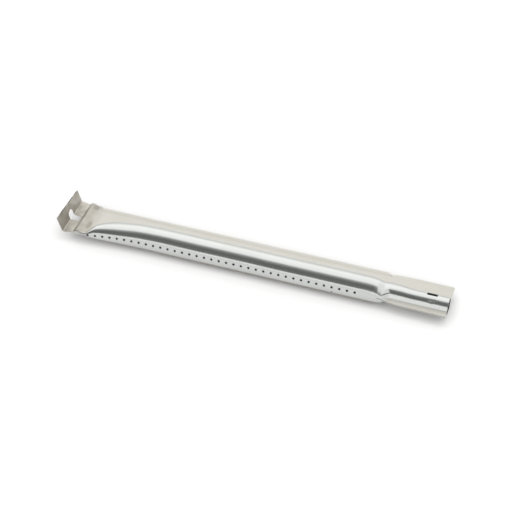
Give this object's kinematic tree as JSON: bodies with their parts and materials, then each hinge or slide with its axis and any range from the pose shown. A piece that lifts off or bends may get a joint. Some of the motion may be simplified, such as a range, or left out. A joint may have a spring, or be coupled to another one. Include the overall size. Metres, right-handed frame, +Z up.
{
  "type": "tube burner",
  "caption": "Long pressed steel gas burner tube with a seam flange, a row of flame ports, a narrower inlet neck and a bent hanger tab with a keyhole.",
  "frame": {"origin": "below the middle of the burner's box, at the height of the lowest point of the tube", "axes": "+X along the tube towards the gas inlet, +Y from the row of ports to the seam flange, +Z up, square to the flange"},
  "size_m": [0.3906, 0.0474, 0.0283],
  "materials": {
    "pressing_steel": "bright mill-finished stainless sheet, lightly brushed along the tube, with faint heat and handling marks",
    "bracket_steel": "duller stainless strap with a fine brushed grain"
  },
  "bodies": {
    "root": {"upper_shell": "pressing_steel", "lower_shell": "pressing_steel", "hanger_bracket": "bracket_steel"}
  },
  "joints": []
}
